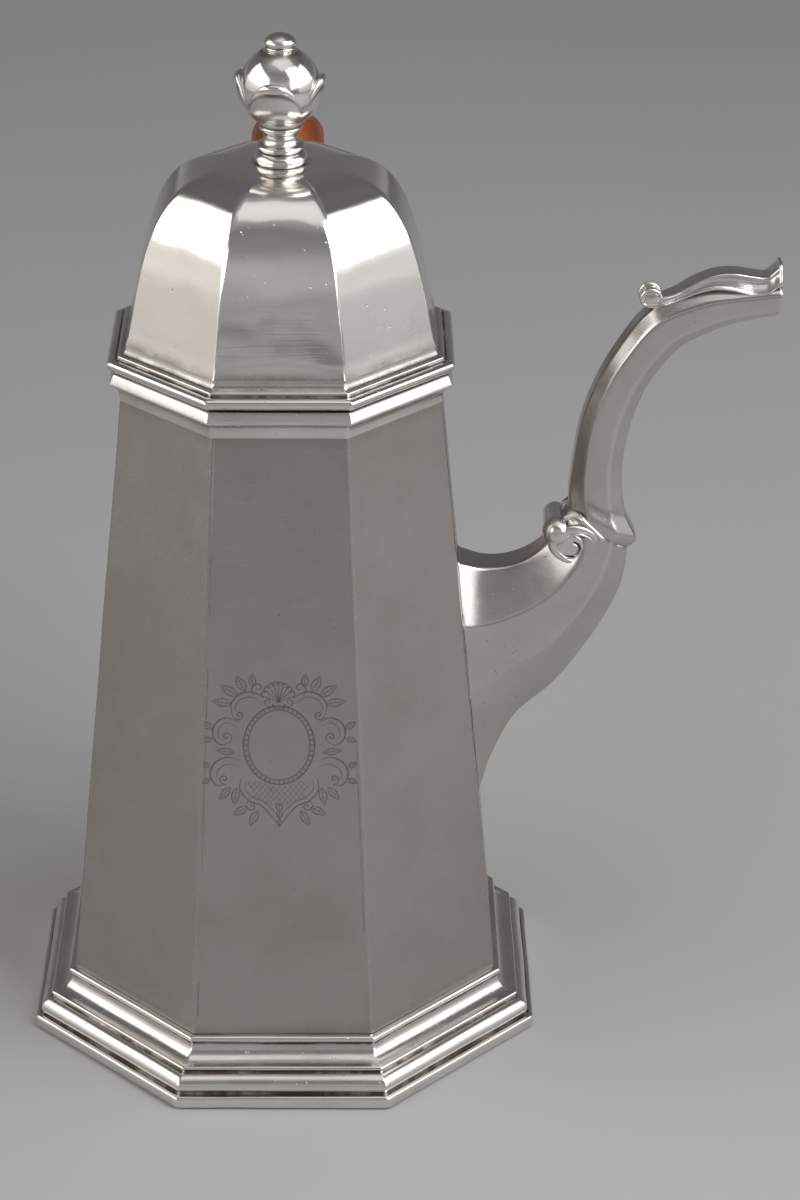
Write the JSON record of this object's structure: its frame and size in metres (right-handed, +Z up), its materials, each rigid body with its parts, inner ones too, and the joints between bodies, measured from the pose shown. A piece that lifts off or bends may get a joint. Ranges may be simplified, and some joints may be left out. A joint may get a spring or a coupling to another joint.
{
  "type": "octagonal coffee pot",
  "caption": "Tapering octagonal silver coffee pot with hinged domed cover, facetted swan-neck spout and a wooden side handle.",
  "frame": {"origin": "centre of the underside of the foot", "axes": "+Z up, +X towards the spout, +Y towards the handle and the hinge"},
  "size_m": [0.1833, 0.1793, 0.2551],
  "materials": {
    "silver_satin": "softly brushed old silver",
    "silver_bright": "polished silver with tarnish in the recesses",
    "fruitwood": "polished brown fruitwood"
  },
  "bodies": {
    "pot": {"body": "silver_satin", "base_plate": "silver_satin", "foot_moulding": "silver_bright", "rim_moulding": "silver_bright", "spout_root": "silver_bright", "spout_neck": "silver_bright", "spout_scroll": "silver_bright", "spout_lip": "silver_bright", "upper_socket": "silver_bright", "lower_socket": "silver_bright", "handle": "fruitwood", "upper_pin": "silver_bright", "lower_pin": "silver_bright", "hinge_leaf_body": "silver_bright", "hinge_pin": "silver_bright"},
    "cover": {"cover_moulding": "silver_bright", "cover_bezel": "silver_satin", "cover_dome": "silver_bright", "hinge_leaf_cover": "silver_bright", "finial_stem": "silver_bright", "finial_ball": "silver_bright", "finial_cup": "silver_bright", "finial_button": "silver_bright", "finial_nut": "silver_bright"}
  },
  "joints": [
    {"name": "cover_hinge", "type": "hinge", "parent": "pot", "child": "cover", "pos_m": [0, 0.04425, 0.17695], "axis": [-1, 0, 0], "range_deg": [0, 65]}
  ]
}
